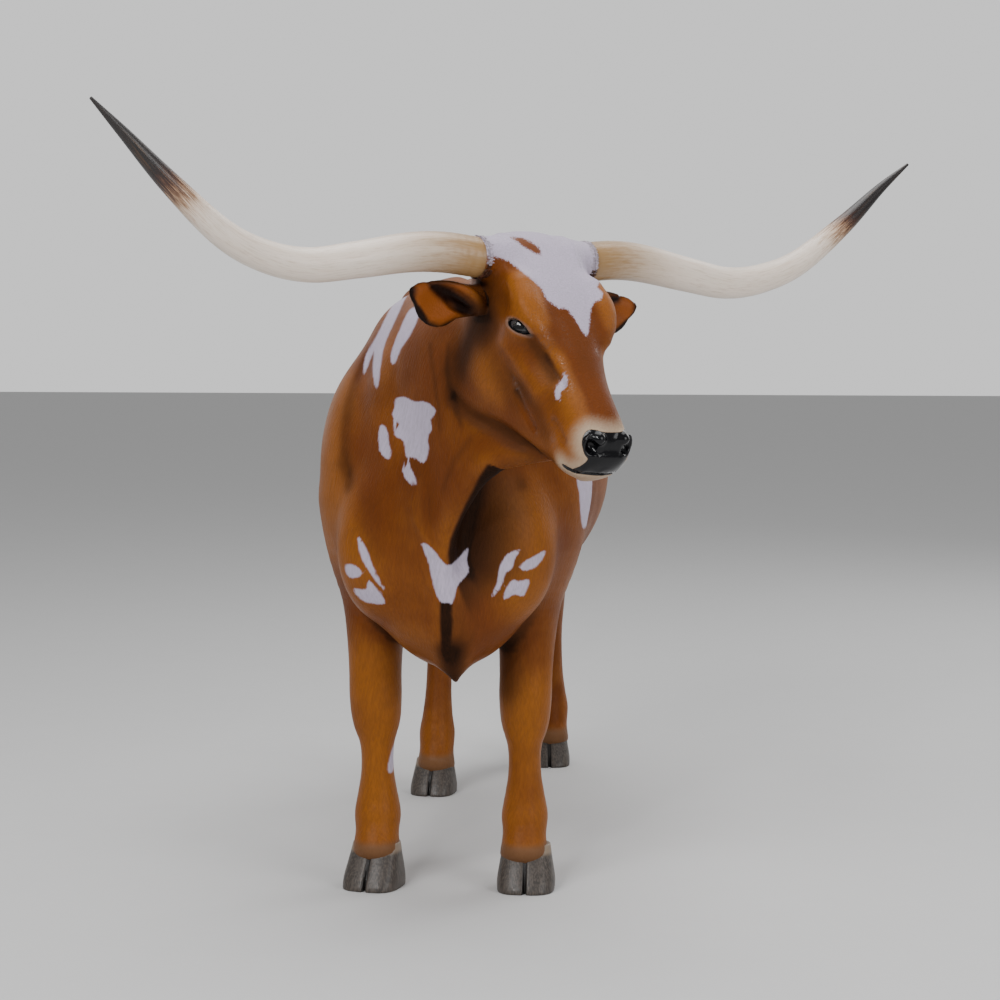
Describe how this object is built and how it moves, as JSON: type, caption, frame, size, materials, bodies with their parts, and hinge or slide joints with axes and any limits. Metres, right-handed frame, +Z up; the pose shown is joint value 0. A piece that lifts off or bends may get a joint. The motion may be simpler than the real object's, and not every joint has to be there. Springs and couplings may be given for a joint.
{
  "type": "texas longhorn statue",
  "caption": "Life-size painted statue of a Texas longhorn steer, standing with its head turned to its left, with long horns that rise at the tips.",
  "frame": {"origin": "middle of the statue's bounding box, on the floor under the hooves", "axes": "+Z up, -Y the way the body faces, +X the animal's left"},
  "size_m": [1.5792, 2.568, 1.7082],
  "materials": {
    "coat": "painted, semi-gloss",
    "horn": "painted, semi-gloss",
    "hoof": "painted, satin",
    "nose": "painted, gloss",
    "eye": "painted, high gloss"
  },
  "bodies": {
    "root": {"ear_left": "coat", "ear_right": "coat", "eye_left": "eye", "eye_right": "eye", "foreleg_left": "coat", "foreleg_right": "coat", "head": "coat", "hindleg_left": "coat", "hindleg_right": "coat", "hoof_front_left": "hoof", "hoof_front_right": "hoof", "hoof_hind_left": "hoof", "hoof_hind_right": "hoof", "horn_left": "horn", "horn_right": "horn", "muzzle": "nose", "neck": "coat", "tail": "coat", "tail_switch": "coat", "torso": "coat"}
  },
  "joints": []
}
